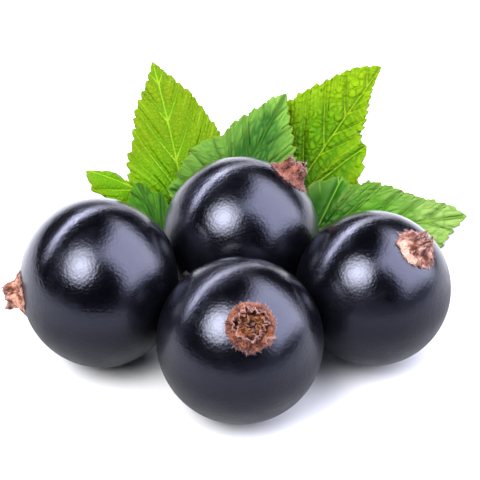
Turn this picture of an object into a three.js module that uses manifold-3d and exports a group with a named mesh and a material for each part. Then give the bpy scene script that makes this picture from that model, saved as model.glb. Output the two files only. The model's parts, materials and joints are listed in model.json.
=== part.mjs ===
// A blackcurrant sprig, picked and laid down: four ripe berries with their dried flowers,
// the short twig that they hang from, and five young leaves.
// Units are millimetres, +Z is up, and the sprig lies on the plane z = 0.
import * as THREE from 'three';
import { mergeVertices } from 'three/addons/utils/BufferGeometryUtils.js';
import Module from 'manifold-3d';

const wasm = await Module();
wasm.setup();

// Driving dimensions
const FOOT_DEPTH = 0.07; // how much of a berry is pressed flat where it rests
const BERRY_SIDES = 26; // facets round a berry
const BERRY_BANDS = 17; // facets from its stalk to its dried flower
const TOUCH_GAP = 0.08; // clearance between pieces that touch
const BLADE_THICKNESS = 0.6; // a leaf blade, with its raised veins
const TOOTH_PEAK = 0.72; // a tooth's point, as a share of its length, leaning to the lobe's tip
const ROOT_ROWS = 3; // rows of facets from the leaf stalk to a notch between two lobes
const ROW_LAG = 1.9; // how far side veins sweep forward: 1 is square to the midrib
const BLADE_COLUMNS = 2; // facets from midrib to margin
const MIDRIB_WIDTH = 0.5; // the rounded bottom of the trough along a blade
const STALK_SIDES = 7; // facets round a stalk
const STALK_STEPS_PER_POINT = 3; // facets along a stalk from one point of its route to the next
const SEPALS = 5; // withered sepals of a dried flower
const FLOWER_SIDES = 25; // facets round a dried flower
const FELT_BORDER = 0.14; // height of the felted ring at its border
const FELT_TOP = 0.3; // height of the ring half way to the sepals
const CRUMPLE = 0.07; // how far withered tissue is pushed about
const SEPAL_NOTCH = 0.38; // how far the crown drops between two sepals, as a share of its height
const SEPAL_FLARE = 0.08; // how far a sepal leans out, as a share of the crown's radius
const LIP_DROP = 0.12; // how far the sepals fold down inwards, as a share of the crown's height
const HOLLOW_FLOOR = 0.4; // height of the bottom of the hollow, as a share of the crown's height
const SCATTER_START = 7; // makes the scatter the same each time
const SAME_POINT = 1e-4; // points closer than this are one
const NO_AREA = 1e-7; // facets smaller than this are left out

// Each berry: its radius, where it stands, which way its dried flower points,
// and its length along that axis as a share of its width.
const BERRIES = {
  left: { radius: 6.42, at: [-10.55, 5.9], axis: [-0.98, -0.17, -0.03], length: 0.945 },
  back: { radius: 6.05, at: [0.1, 12.0], axis: [0.62, 0.34, 0.7], length: 1.0 },
  front: { radius: 6.13, at: [0, -0.15], axis: [0.13, -0.6, 0.79], length: 1.0 },
  right: { radius: 5.88, at: [10.05, 5.85], axis: [0.515, -0.18, 0.84], length: 1.0 },
};

// Each dried flower: the radius of its felted base, the height and radius of the crown
// of sepals, the radius of the hollow inside, and the angle of its first sepal.
const FLOWERS = {
  left: { base: 1.75, height: 1.25, crown: 1.2, hollow: 0.5, turn: 0.3 },
  back: { base: 1.8, height: 1.3, crown: 1.1, hollow: 0.45, turn: 1.1 },
  front: { base: 1.9, height: 0.8, crown: 1.15, hollow: 0.7, turn: 0.6 },
  right: { base: 1.75, height: 1.25, crown: 1.0, hollow: 0.4, turn: 2.0 },
};

// Each leaf: where its blade meets its stalk, the compass heading, pitch and roll of its
// midrib in degrees, its size, and its lobes in the flat of the blade.
// A lobe's right and left margins start at the notch and stop short of the tip.
const LEAVES = {
  upper_left: {
    at: [-4.4, 20.1, 1.5], heading: 104, pitch: 25, roll: -6,
    length: 14.5, fold: 0.1, arch: 0.5, toothDepth: 0.38,
    lobes: [
      {
        right: [[0.9, -1.0], [3.4, -0.4], [5.2, 1.6]], tip: [6.1, 3.7],
        left: [[4.4, 4.0], [5.2, 4.2]], teeth: [4, 2],
      },
      {
        right: [[4.4, 4.0], [4.1, 7.0], [3.1, 10.0], [1.3, 13.0]], tip: [0.1, 14.6],
        left: [[-4.5, 2.9], [-4.2, 5.2], [-3.5, 6.6], [-2.6, 9.7], [-0.9, 12.7]], teeth: [9, 9],
      },
      {
        right: [[-4.5, 2.9], [-5.7, 4.0]], tip: [-7.8, 4.4],
        left: [[-0.9, -1.0], [-3.6, -0.7], [-7.7, 2.2]], teeth: [3, 6],
      },
    ],
  },
  small: {
    at: [-6.2, 15.9, 1.6], heading: 118, pitch: 28, roll: -4,
    length: 5.6, fold: 0.12, arch: 0.25, toothDepth: 0.24,
    lobes: [
      { right: [[0.5, -0.5], [1.9, 0.8]], tip: [1.7, 4.3], left: [[1.0, 4.3]], teeth: [4, 1] },
      {
        right: [[1.0, 4.3], [0.9, 5.2]], tip: [0.3, 5.8],
        left: [[-1.2, 4.5], [-0.6, 5.5]], teeth: [2, 2],
      },
      {
        right: [[-1.2, 4.5], [-1.8, 4.0]], tip: [-2.5, 2.9],
        left: [[-0.5, -0.5], [-1.9, 0.4]], teeth: [2, 4],
      },
    ],
  },
  centre: {
    at: [-0.8, 19.2, 3.0], heading: 60, pitch: 29, roll: -8,
    length: 10.9, fold: 0.14, arch: 0.35, toothDepth: 0.36,
    lobes: [
      { right: [[0.6, -0.7], [2.6, -0.2]], tip: [4.9, 2.3], left: [[4.2, 4.0]], teeth: [4, 1] },
      {
        right: [[4.2, 4.0], [2.9, 6.6], [0.9, 9.4]], tip: [-0.1, 10.9],
        left: [[-3.1, 5.1], [-3.0, 6.3], [-1.6, 8.9], [-1.0, 10.0]], teeth: [6, 6],
      },
      {
        right: [[-3.1, 5.1], [-4.1, 4.4], [-5.0, 2.4]], tip: [-5.3, -1.0],
        left: [[-0.6, -0.8], [-3.2, -2.2]], teeth: [6, 6],
      },
    ],
  },
  upper_right: {
    at: [3.6, 20.6, 1.5], heading: 55, pitch: 20, roll: -18,
    length: 16.1, fold: 0.08, arch: 0.6, toothDepth: 0.38,
    lobes: [
      {
        right: [[0.6, -0.9], [3.6, 0.6], [4.2, 4.8], [3.8, 6.6]], tip: [2.9, 8.5],
        left: [[2.2, 8.6]], teeth: [7, 1],
      },
      {
        right: [[2.2, 8.6], [1.7, 10.4], [0.5, 13.6]], tip: [-0.1, 16.1],
        left: [[-5.0, 7.6], [-4.2, 10.2], [-2.7, 13.3], [-1.3, 15.3]], teeth: [8, 8],
      },
      {
        right: [[-5.0, 7.6]], tip: [-6.0, 5.4],
        left: [[-0.6, -0.9], [-3.4, -0.2], [-5.2, 2.6]], teeth: [2, 6],
      },
    ],
  },
  lower_right: {
    at: [5.6, 15.2, 2.2], heading: 18, pitch: -5, roll: -20,
    length: 14.1, fold: 0.08, arch: 0.5, toothDepth: 0.36,
    lobes: [
      { right: [[0.3, -0.9], [2.4, 0.2]], tip: [4.0, 3.2], left: [[3.4, 4.6]], teeth: [4, 1] },
      {
        right: [[3.4, 4.6], [3.9, 7.2], [3.0, 9.8], [1.1, 12.1]], tip: [-0.5, 14.1],
        left: [[-4.6, 4.8], [-4.7, 6.4], [-3.1, 9.6], [-2.0, 12.4]], teeth: [9, 9],
      },
      {
        right: [[-4.6, 4.8]], tip: [-5.5, 4.4],
        left: [[-0.3, -0.9], [-3.0, -0.6], [-5.0, 0.9], [-5.4, 3.2]], teeth: [1, 5],
      },
    ],
  },
};

// The woody twig, the thin stalk that carries the berries, each berry's own stalk
// and the leaf stalks: the points of each route with the radius there.
const STALKS = {
  twig: [
    [-0.5, 17.7, 1.0, 0.7], [-0.2, 19.4, 1.0, 0.86], [0.3, 22.2, 1.0, 0.8],
    [0.9, 25.4, 1.05, 0.84], [1.4, 28.5, 1.1, 0.92],
  ],
  strig: [
    [-0.6, 18.0, 1.0, 0.6], [-2.4, 16.8, 0.85, 0.5], [-4.6, 14.6, 0.8, 0.46], [-5.2, 11.8, 0.85, 0.44],
    [-4.7, 8.9, 0.9, 0.42], [-2.6, 6.4, 0.85, 0.4], [0.2, 6.0, 0.85, 0.36], [3.2, 6.2, 0.9, 0.32],
  ],
  berry_front: [[-1.4, 6.1, 0.8, 0.3], [-0.95, 4.9, 0.68, 0.28], [-0.82, 3.68, 1.06, 0.3]],
  berry_right: [
    [2.8, 6.2, 0.9, 0.3], [4.9, 6.7, 0.6, 0.28], [6.4, 6.9, 0.52, 0.26], [6.88, 6.93, 0.68, 0.26],
  ],
  berry_back: [[-5.0, 10.9, 0.85, 0.3], [-4.5, 10.3, 1.05, 0.28], [-3.88, 9.88, 1.52, 0.3]],
  berry_left: [
    [-4.6, 8.6, 0.9, 0.32], [-3.8, 7.2, 2.2, 0.3], [-3.5, 6.5, 4.4, 0.28],
    [-3.75, 6.75, 5.9, 0.28], [-4.3, 6.9, 6.4, 0.3],
  ],
  leaf_upper_left: [
    [-0.6, 18.4, 1.0, 0.45], [-2.4, 18.3, 0.95, 0.4], [-3.7, 18.7, 0.95, 0.36], [-4.2, 19.35, 1.2, 0.34],
  ],
  leaf_small: [[-3.0, 16.2, 0.85, 0.34], [-4.6, 15.6, 1.0, 0.32], [-5.9, 15.3, 1.2, 0.3]],
  leaf_centre: [
    [-0.4, 18.3, 1.1, 0.45], [-1.1, 17.6, 1.7, 0.4], [-1.35, 18.2, 2.4, 0.36], [-1.15, 18.6, 2.6, 0.34],
  ],
  leaf_upper_right: [
    [-0.2, 18.6, 1.0, 0.45], [1.4, 18.6, 0.95, 0.4], [2.6, 19.3, 1.0, 0.36], [3.15, 19.95, 1.2, 0.34],
  ],
  leaf_lower_right: [
    [-0.3, 18.0, 1.0, 0.45], [1.6, 17.0, 0.85, 0.4], [3.4, 15.5, 1.1, 0.36], [4.8, 14.95, 2.1, 0.34],
  ],
};

// Finishes, one for each kind of piece
const finish = (color, roughness) => new THREE.MeshStandardMaterial({ color, roughness, metalness: 0 });
const berrySkin = () => finish(0x0b0b16, 0.28);
const driedFlower = () => finish(0xb8745a, 0.9);
const leafGreen = (color) => finish(color, 0.5);
const greenBark = () => finish(0x7c6a3e, 0.8);
const LEAF_COLOURS = {
  upper_left: 0x7fb81c, small: 0x3f8a35, centre: 0x4b9a45, upper_right: 0x6cb01a, lower_right: 0x58a038,
};

function meshNamed(name, geometry, material) {
  const mesh = new THREE.Mesh(geometry, material);
  mesh.name = name;
  return mesh;
}

// A three.js geometry as a solid that can be joined and cut
function solidOf(geometry) {
  const bare = geometry.clone();
  bare.deleteAttribute('normal');
  bare.deleteAttribute('uv');
  const merged = mergeVertices(bare, SAME_POINT);
  return new wasm.Manifold(new wasm.Mesh({
    numProp: 3,
    vertProperties: new Float32Array(merged.attributes.position.array),
    triVerts: new Uint32Array(merged.index.array),
  }));
}

function geometryOf(solid) {
  const mesh = solid.getMesh();
  const geometry = new THREE.BufferGeometry();
  geometry.setAttribute('position', new THREE.BufferAttribute(new Float32Array(mesh.vertProperties), 3));
  geometry.setIndex(new THREE.BufferAttribute(new Uint32Array(mesh.triVerts), 1));
  geometry.computeVertexNormals();
  return geometry;
}

// A closed surface from rings of points: the first and last ring may be a single point
function closedRings(rings) {
  const points = rings.flat();
  const starts = [];
  let count = 0;
  for (const ring of rings) {
    starts.push(count);
    count += ring.length;
  }
  const faces = [];
  for (let r = 0; r + 1 < rings.length; r += 1) {
    const [low, high] = [rings[r].length, rings[r + 1].length];
    const around = Math.max(low, high);
    for (let i = 0; i < around; i += 1) {
      const next = i + 1;
      const a = starts[r] + (i % low);
      const b = starts[r] + (next % low);
      const c = starts[r + 1] + (next % high);
      const d = starts[r + 1] + (i % high);
      if (low > 1) faces.push(a, b, c);
      if (high > 1) faces.push(a, c, d);
    }
  }
  const geometry = new THREE.BufferGeometry();
  geometry.setAttribute('position', new THREE.Float32BufferAttribute(points.flatMap((p) => p.toArray()), 3));
  geometry.setIndex(faces);
  geometry.computeVertexNormals();
  return geometry;
}

// A berry's radius in one direction: it is a ball that is a little shorter along its axis
function reach({ radius, axis, length }, direction) {
  const cosine = new THREE.Vector3(...axis).normalize().dot(direction);
  return radius / Math.sqrt((cosine / length) ** 2 + 1 - cosine ** 2);
}

function berryCentre(berry) {
  return new THREE.Vector3(...berry.at, reach(berry, new THREE.Vector3(0, 0, -1)) - FOOT_DEPTH);
}

// A block whose near face crosses a berry square to a direction, to press it flat there
function pressBlock(centre, direction, distance) {
  const BLOCK = 20;
  const block = new THREE.BoxGeometry(BLOCK, BLOCK, BLOCK);
  block.translate(0, 0, BLOCK / 2 + distance);
  block.applyQuaternion(new THREE.Quaternion().setFromUnitVectors(new THREE.Vector3(0, 0, 1), direction));
  block.translate(...centre.toArray());
  return solidOf(block);
}

// A berry, pressed flat where it rests on z = 0 and where it meets its neighbours
function berryGeometry(berry) {
  const ball = new THREE.SphereGeometry(berry.radius, BERRY_SIDES, BERRY_BANDS);
  ball.scale(1, berry.length, 1);
  const towardsFlower = new THREE.Vector3(...berry.axis).normalize();
  ball.applyQuaternion(new THREE.Quaternion().setFromUnitVectors(new THREE.Vector3(0, 1, 0), towardsFlower));
  const centre = berryCentre(berry);
  ball.translate(...centre.toArray());
  let solid = solidOf(ball).subtract(pressBlock(centre, new THREE.Vector3(0, 0, -1), centre.z));
  for (const neighbour of Object.values(BERRIES)) {
    if (neighbour === berry) continue;
    const across = berryCentre(neighbour).sub(centre);
    const distance = across.length();
    const direction = across.normalize();
    const [own, other] = [reach(berry, direction), reach(neighbour, direction)];
    if (own + other + TOUCH_GAP < distance) continue;
    solid = solid.subtract(pressBlock(centre, direction, (distance + own - other - TOUCH_GAP) / 2));
  }
  return geometryOf(solid);
}

// A dried flower: a felted ring on the berry, and withered sepals that stand round a hollow
function flowerGeometry(berry, flower) {
  const { base, height, crown, hollow, turn } = flower;
  const skin = (rho) => berry.length * Math.sqrt(berry.radius ** 2 - rho ** 2) + TOUCH_GAP;
  const rim = (sepal) => height * (1 - SEPAL_NOTCH * (1 - sepal));
  const section = (sepal, push) => [
    [base / 2, 0],
    [base, 0],
    [base, FELT_BORDER],
    [(base + crown) / 2 + push, FELT_TOP],
    [crown, height / 2],
    [crown * (1 + SEPAL_FLARE * sepal) + push, rim(sepal)],
    [(crown + hollow) / 2, rim(sepal) - LIP_DROP * height],
    [hollow, HOLLOW_FLOOR * height],
  ];
  const axis = new THREE.Vector3(...berry.axis).normalize();
  const turnToAxis = new THREE.Quaternion().setFromUnitVectors(new THREE.Vector3(0, 0, 1), axis);
  const centre = berryCentre(berry);
  const place = (rho, above, angle) => {
    const local = new THREE.Vector3(rho * Math.cos(angle), rho * Math.sin(angle), skin(rho) + above);
    return local.applyQuaternion(turnToAxis).add(centre);
  };
  const rings = section(0, 0).map(() => []);
  for (let i = 0; i < FLOWER_SIDES; i += 1) {
    const around = (2 * Math.PI * i) / FLOWER_SIDES;
    const sepal = 0.5 + 0.5 * Math.cos(SEPALS * around);
    const push = CRUMPLE * (2 * THREE.MathUtils.seededRandom() - 1);
    section(sepal, push).forEach(([rho, above], ring) => rings[ring].push(place(rho, above, around + turn)));
  }
  return closedRings([[place(0, 0, 0)], ...rings, [place(0, HOLLOW_FLOOR * height, 0)]]);
}

// A blade's height above its own flat: a trough along the midrib and an arch along its length
function bladeHeight({ fold, arch, length }, x, y) {
  const along = THREE.MathUtils.clamp(y / length, 0, 1);
  return fold * (Math.hypot(x, MIDRIB_WIDTH) - MIDRIB_WIDTH) + arch * Math.sin(Math.PI * along);
}

// How far a toothed margin stands out, from 0 in a notch to 1 at a tooth's point
function toothRise(phase) {
  if (phase < TOOTH_PEAK) return Math.sin((0.5 * Math.PI * phase) / TOOTH_PEAK);
  return (1 - phase) / (1 - TOOTH_PEAK);
}

// One margin of a lobe from the leaf stalk over the notch to the tip, as a row of points
function marginPoints(knots, tip, teeth, rows, side, toothDepth) {
  const notch = new THREE.Vector2(...knots[0]);
  const points = [];
  for (let i = 0; i < ROOT_ROWS; i += 1) {
    points.push(notch.clone().multiplyScalar(i / ROOT_ROWS));
  }
  const envelope = new THREE.SplineCurve([...knots, tip].map((p) => new THREE.Vector2(...p)));
  for (let j = 0; j <= rows; j += 1) {
    const whole = Math.floor(j / 2) + (j % 2) * TOOTH_PEAK;
    const along = Math.min(whole / (rows / 2), 1);
    const phase = (along * teeth) % 1;
    const point = envelope.getPointAt(along);
    const inward = envelope.getTangentAt(along).rotateAround(new THREE.Vector2(), side * 0.5 * Math.PI);
    const atEnd = j === 0 || j === rows;
    const depth = atEnd ? 0 : toothDepth * (1 - toothRise(phase));
    points.push(point.addScaledVector(inward, depth));
  }
  return points;
}

// A leaf blade: every lobe is a fan of rows that leave its midrib and end in its teeth,
// the same on the upper and the lower face
function bladeGeometry(leaf) {
  const triangles = [];
  const half = BLADE_THICKNESS / 2;
  const raise = (p, offset) => new THREE.Vector3(p.x, p.y, bladeHeight(leaf, p.x, p.y) + offset);
  const addFace = (a, b, c) => {
    const area = Math.abs((b.x - a.x) * (c.y - a.y) - (c.x - a.x) * (b.y - a.y));
    if (area < NO_AREA) return;
    triangles.push(raise(a, half), raise(b, half), raise(c, half));
    triangles.push(raise(a, -half), raise(c, -half), raise(b, -half));
  };
  const addWall = (a, b) => {
    triangles.push(raise(a, -half), raise(b, -half), raise(b, half));
    triangles.push(raise(a, -half), raise(b, half), raise(a, half));
  };
  leaf.lobes.forEach((lobe, index) => {
    const rows = 2 * Math.max(...lobe.teeth);
    const count = ROOT_ROWS + rows;
    const tip = new THREE.Vector2(...lobe.tip);
    const onMidrib = (i) => tip.clone().multiplyScalar((i / count) ** ROW_LAG);
    const midrib = Array.from({ length: count + 1 }, (_, i) => onMidrib(i));
    for (const side of [1, -1]) {
      const [knots, teeth] = side > 0 ? [lobe.right, lobe.teeth[0]] : [lobe.left, lobe.teeth[1]];
      const margin = marginPoints(knots, lobe.tip, teeth, rows, side, leaf.toothDepth);
      const at = (i, column) => midrib[i].clone().lerp(margin[i], column / BLADE_COLUMNS);
      const facing = (a, b, c) => (side > 0 ? addFace(a, b, c) : addFace(a, c, b));
      for (let i = 0; i < count; i += 1) {
        for (let column = 0; column < BLADE_COLUMNS; column += 1) {
          const [a, b] = [at(i, column), at(i, column + 1)];
          const [c, d] = [at(i + 1, column + 1), at(i + 1, column)];
          facing(a, b, c);
          facing(a, c, d);
        }
        const outerLobe = side > 0 ? index === 0 : index === leaf.lobes.length - 1;
        const isMargin = i >= ROOT_ROWS || outerLobe;
        if (isMargin && side > 0) addWall(margin[i], margin[i + 1]);
        if (isMargin && side < 0) addWall(margin[i + 1], margin[i]);
      }
    }
  });
  const soup = new THREE.BufferGeometry().setFromPoints(triangles);
  const geometry = mergeVertices(soup, SAME_POINT);
  geometry.applyMatrix4(leafFrame(leaf));
  geometry.computeVertexNormals();
  return geometry;
}

// The blade's own frame: +Y along the midrib, +Z out of its upper face
function leafFrame({ at, heading, pitch, roll }) {
  const [h, p, r] = [heading, pitch, roll].map(THREE.MathUtils.degToRad);
  const along = new THREE.Vector3(Math.cos(p) * Math.cos(h), Math.cos(p) * Math.sin(h), Math.sin(p));
  const level = new THREE.Vector3(Math.sin(h), -Math.cos(h), 0);
  const across = level.clone().applyAxisAngle(along, -r);
  const upper = new THREE.Vector3().crossVectors(across, along);
  return new THREE.Matrix4().makeBasis(across, along, upper).setPosition(...at);
}

// A round stalk that tapers along a smooth route, closed at both ends
function stalkGeometry(route) {
  const points = route.map(([x, y, z]) => new THREE.Vector3(x, y, z));
  const curve = new THREE.CatmullRomCurve3(points, false, 'centripetal');
  const steps = (route.length - 1) * STALK_STEPS_PER_POINT;
  const { normals, binormals } = curve.computeFrenetFrames(steps, false);
  const rings = [];
  for (let i = 0; i <= steps; i += 1) {
    const along = i / steps;
    const centre = curve.getPointAt(along);
    const knot = along * (route.length - 1);
    const before = Math.min(Math.floor(knot), route.length - 2);
    const radius = THREE.MathUtils.lerp(route[before][3], route[before + 1][3], knot - before);
    const ring = [];
    for (let s = 0; s < STALK_SIDES; s += 1) {
      const angle = (2 * Math.PI * s) / STALK_SIDES;
      const offset = normals[i].clone().multiplyScalar(radius * Math.cos(angle));
      ring.push(offset.addScaledVector(binormals[i], radius * Math.sin(angle)).add(centre));
    }
    rings.push(ring);
  }
  return closedRings([[curve.getPointAt(0)], ...rings, [curve.getPointAt(1)]]);
}

const sprig = new THREE.Group();

THREE.MathUtils.seededRandom(SCATTER_START);
for (const [place, berry] of Object.entries(BERRIES)) {
  sprig.add(meshNamed(`berry_${place}`, berryGeometry(berry), berrySkin()));
  sprig.add(meshNamed(`dried_flower_${place}`, flowerGeometry(berry, FLOWERS[place]), driedFlower()));
}

for (const [place, leaf] of Object.entries(LEAVES)) {
  sprig.add(meshNamed(`leaf_${place}`, bladeGeometry(leaf), leafGreen(LEAF_COLOURS[place])));
}

const stalkSolids = Object.values(STALKS).map((route) => solidOf(stalkGeometry(route)));
const stem = stalkSolids.reduce((whole, stalk) => whole.add(stalk));
sprig.add(meshNamed('stem', geometryOf(stem), greenBark()));

// The origin is at the middle of the sprig's footprint, on the plane that it lies on
const footprint = new THREE.Box3().setFromObject(sprig);
const middle = footprint.getCenter(new THREE.Vector3());
sprig.position.set(-middle.x, -middle.y, 0);
sprig.updateMatrixWorld(true);

export default sprig;
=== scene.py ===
# %% [markdown]
# # A blackcurrant sprig
# This lesson dresses a plain model of a picked sprig: four ripe berries, the dried flower at the end of
# each one, five young leaves, and the twig that they all grew on. The plain model gives every piece its
# place and size. Here each is made again with its fine surface.

# %% Load the plain model
import json
import math
import random

import bmesh
import bpy
import numpy as np
from mathutils import Matrix, Vector, noise


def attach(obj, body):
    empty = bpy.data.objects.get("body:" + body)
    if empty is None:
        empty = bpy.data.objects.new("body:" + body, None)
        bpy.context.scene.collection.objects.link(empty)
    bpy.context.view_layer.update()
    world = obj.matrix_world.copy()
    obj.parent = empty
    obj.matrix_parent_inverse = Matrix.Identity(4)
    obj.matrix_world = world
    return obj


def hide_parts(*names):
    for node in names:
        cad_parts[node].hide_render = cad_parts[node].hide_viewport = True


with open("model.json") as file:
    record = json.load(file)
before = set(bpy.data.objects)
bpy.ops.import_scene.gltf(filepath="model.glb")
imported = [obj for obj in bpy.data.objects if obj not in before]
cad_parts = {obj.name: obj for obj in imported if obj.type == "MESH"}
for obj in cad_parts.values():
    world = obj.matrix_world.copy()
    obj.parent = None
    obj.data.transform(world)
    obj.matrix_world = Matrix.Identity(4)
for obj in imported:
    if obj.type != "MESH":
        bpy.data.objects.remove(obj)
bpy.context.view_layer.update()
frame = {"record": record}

MM = 0.001
scene = bpy.context.scene

# %% [markdown]
# ## Where things stand
# The sprig was measured from its front berry, and the plain model then moved it onto the middle of its
# footprint. The record says where the front berry rests, so the move is worked out from that.

# %% The move from the measured places to the model's frame
BERRIES = {
    "left": {"radius": 6.42, "at": (-10.55, 5.9), "axis": (-0.98, -0.17, -0.03), "length": 0.945},
    "back": {"radius": 6.05, "at": (0.1, 12.0), "axis": (0.62, 0.34, 0.7), "length": 1.0},
    "front": {"radius": 6.13, "at": (0.0, -0.15), "axis": (0.13, -0.6, 0.79), "length": 1.0},
    "right": {"radius": 5.88, "at": (10.05, 5.85), "axis": (0.515, -0.18, 0.84), "length": 1.0},
}
resting_place = Vector(frame["record"]["mounts"][0]["pos_m"])
SHIFT = resting_place / MM - Vector((*BERRIES["front"]["at"], 0))


def in_frame(point):
    """A measured point in millimetres as a place in the frame in metres."""
    return (Vector(point) + SHIFT) * MM


print("the measured places move by", [round(s, 2) for s in SHIFT], "mm")

# %% [markdown]
# ## Short ways to write node trees
# A pattern is a formula, and a node tree is a formula drawn as boxes. Here the result of each box is a
# value that can be added and multiplied, and doing so adds the next box. So a tree reads as its formula.

# %% Values that add their own nodes
class Value:
    """The result of a node. Arithmetic with it adds the nodes for that arithmetic."""

    def __init__(self, socket):
        self.socket, self.tree = socket, socket.id_data


for sign, operation in {"add": "ADD", "sub": "SUBTRACT", "mul": "MULTIPLY", "truediv": "DIVIDE"}.items():
    setattr(Value, f"__{sign}__", lambda self, other, do=operation: maths(do, self, other))
    setattr(Value, f"__r{sign}__", lambda self, other, do=operation: maths(do, other, self))


def feed(socket, value):
    """Join a value to a socket, or set the socket's own constant."""
    if isinstance(value, Value):
        value.tree.links.new(value.socket, socket)
    elif socket.type == "VECTOR" and isinstance(value, float):
        socket.default_value = (value, value, value)
    else:
        socket.default_value = value


def add_node(tree, kind, values=None, **settings):
    node = tree.nodes.new(kind)
    for key, setting in settings.items():
        setattr(node, key, setting)
    for key, value in (values or {}).items():
        feed(node.inputs[key], value)
    return node


def result(tree, kind, values=None, output=0, **settings):
    """Add a node and take one of its results."""
    return Value(add_node(tree, kind, values, **settings).outputs[output])


def maths(operation, *values):
    """A node of arithmetic, for vectors where one of its values is a vector."""
    tree = next(value.tree for value in values if isinstance(value, Value))
    plain = [isinstance(v, float) or isinstance(v, Value) and v.socket.type == "VALUE" for v in values]
    kind = "ShaderNodeMath" if all(plain) else "ShaderNodeVectorMath"
    output = 1 if operation in ("DOT_PRODUCT", "LENGTH") else 0
    return result(tree, kind, dict(enumerate(values)), output, operation=operation)


def parts_of(vector):
    return [Value(socket) for socket in add_node(vector.tree, "ShaderNodeSeparateXYZ", {0: vector}).outputs]


def ease(value, start, end, low=0.0, high=1.0):
    """Go smoothly from low to high while the value goes from start to end."""
    limits = {"Value": value, "From Min": start, "From Max": end, "To Min": low, "To Max": high}
    return result(value.tree, "ShaderNodeMapRange", limits, interpolation_type="SMOOTHSTEP")


def grain(where, size, detail=3.0, roughness=0.55, output=0):
    """Soft random values between 0 and 1, in lumps of about the given size."""
    values = {"Vector": where, "Scale": 1 / size, "Detail": detail, "Roughness": roughness}
    return result(where.tree, "ShaderNodeTexNoise", values, output)


def cells(where, size, feature, randomness=1.0):
    values = {"Vector": where, "Scale": 1 / size, "Randomness": randomness}
    return result(where.tree, "ShaderNodeTexVoronoi", values, feature=feature)


def blend(share, first, second):
    """Mix two colours: a share of 0 is all the first and 1 is all the second."""
    return result(share.tree, "ShaderNodeMix", {0: share, 6: first, 7: second}, 2, data_type="RGBA")


def tint(*seen):
    """A colour as the eye sees it, from 0 to 255, as the light values that Blender mixes."""
    shares = [part / 255 for part in seen]
    return (*(s / 12.92 if s <= 0.04045 else ((s + 0.055) / 1.055) ** 2.4 for s in shares), 1.0)


print("a mid grey of 119 is a light value of", round(tint(119, 119, 119)[0], 3))

# %% [markdown]
# ## The camera
# The camera looks down at about 40 degrees from 150 mm away, through a long lens as for small fruit.

# %% The camera
LOOK_DOWN = math.radians(40.4)
STAND_OFF = 150.0
LENS = 143.03
AIM = (0.0, 12.66, 4.8)


def put(name, data):
    """A new object in the scene, at the origin."""
    thing = bpy.data.objects.new(name, data)
    scene.collection.objects.link(thing)
    return thing


camera = put("camera", bpy.data.cameras.new("camera"))
scene.camera = camera
camera.data.sensor_width = 36
camera.data.lens = LENS
camera.data.clip_start = 0.005
camera.data.clip_end = 10
towards_camera = Vector((0, -math.cos(LOOK_DOWN), math.sin(LOOK_DOWN)))
camera.location = in_frame(Vector(AIM) + towards_camera * STAND_OFF)
camera.rotation_euler = (math.pi / 2 - LOOK_DOWN, 0, 0)
print("the camera stands at", [round(c / MM, 1) for c in camera.location], "mm")

# %% [markdown]
# ## The studio
# Dark, glossy fruit shows little colour of its own: the eye sees the room that the skin mirrors. That is
# one lamp, one large square diffuser on the right that reaches overhead, one thin arch of light behind
# on the left, and the white table. Diffuser and arch are painted on the sky by direction, with soft
# edges. The lamp's beam is narrowed, so that its image in the skin fades towards the edge.

# %% The sky with its diffuser and its arch of light
DIFFUSER = {"towards": (0.70, 0.08, 0.70), "half_size": 0.52, "soft": 0.16, "turn": 62, "brightness": 7.0}
ARCH = {"towards": (-0.585, 0.73, -0.355), "inner": 50, "outer": 56.5, "soft": 0.05, "brightness": 20.0}
ARCH_FADE = 0.16
LIGHT_COLOUR = (0.88, 0.89, 1.04)
ROOM_LIGHT = (0.016, 0.018, 0.025)
BACKDROP = (0.9, 0.91, 0.94, 1.0)

scene.view_settings.view_transform = "Standard"
world = bpy.data.worlds.new("studio")
scene.world = world
world.use_nodes = True
sky = world.node_tree
heading = result(sky, "ShaderNodeTexCoord", output="Generated")
east, north, _ = parts_of(heading)


def nearness(direction):
    """How near a heading lies to a direction, as the cosine of the angle between them."""
    return maths("DOT_PRODUCT", heading, tuple(direction))


towards = Vector(DIFFUSER["towards"]).normalized()
level = towards.cross(Vector((0, 0, 1))).normalized()
side = Matrix.Rotation(math.radians(DIFFUSER["turn"]), 3, towards) @ level
diffuser = ease(nearness(towards), 0.0, 0.1)
near, far = DIFFUSER["half_size"] - DIFFUSER["soft"], DIFFUSER["half_size"] + DIFFUSER["soft"]
for direction in (side, towards.cross(side)):
    diffuser = diffuser * ease(maths("ABSOLUTE", nearness(direction)), far, near)

ring = nearness(Vector(ARCH["towards"]).normalized())
outer, inner = (math.cos(math.radians(ARCH[key])) for key in ("outer", "inner"))
soft = ARCH["soft"]
arch = ease(ring, outer - soft, outer + soft) * ease(ring, inner + soft, inner - soft)
arch = arch * ease(east, 0.12, -0.45, ARCH_FADE, 1.0) * ease(north, 0.12, 0.5)

lights = diffuser * DIFFUSER["brightness"] + arch * ARCH["brightness"]
seen = result(sky, "ShaderNodeLightPath", output="Is Camera Ray")
feed(sky.nodes["Background"].inputs["Color"], blend(seen, lights * LIGHT_COLOUR + ROOM_LIGHT, BACKDROP))
print("the sky has", len(sky.nodes), "nodes")

# %% The lamp and the table
LAMP = {"at": (-74.0, -52.0, 150.0), "radius": 92.0, "watts": 0.17, "beam": 56}

lamp = put("lamp", bpy.data.lights.new("lamp", "AREA"))
lamp.data.shape = "DISK"
lamp.data.size = 2 * LAMP["radius"] * MM
lamp.data.energy = LAMP["watts"]
lamp.data.spread = math.radians(LAMP["beam"])
lamp.location = in_frame(LAMP["at"])
lamp.rotation_euler = (Vector(AIM) - Vector(LAMP["at"])).to_track_quat("-Z", "Y").to_euler()


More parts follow.
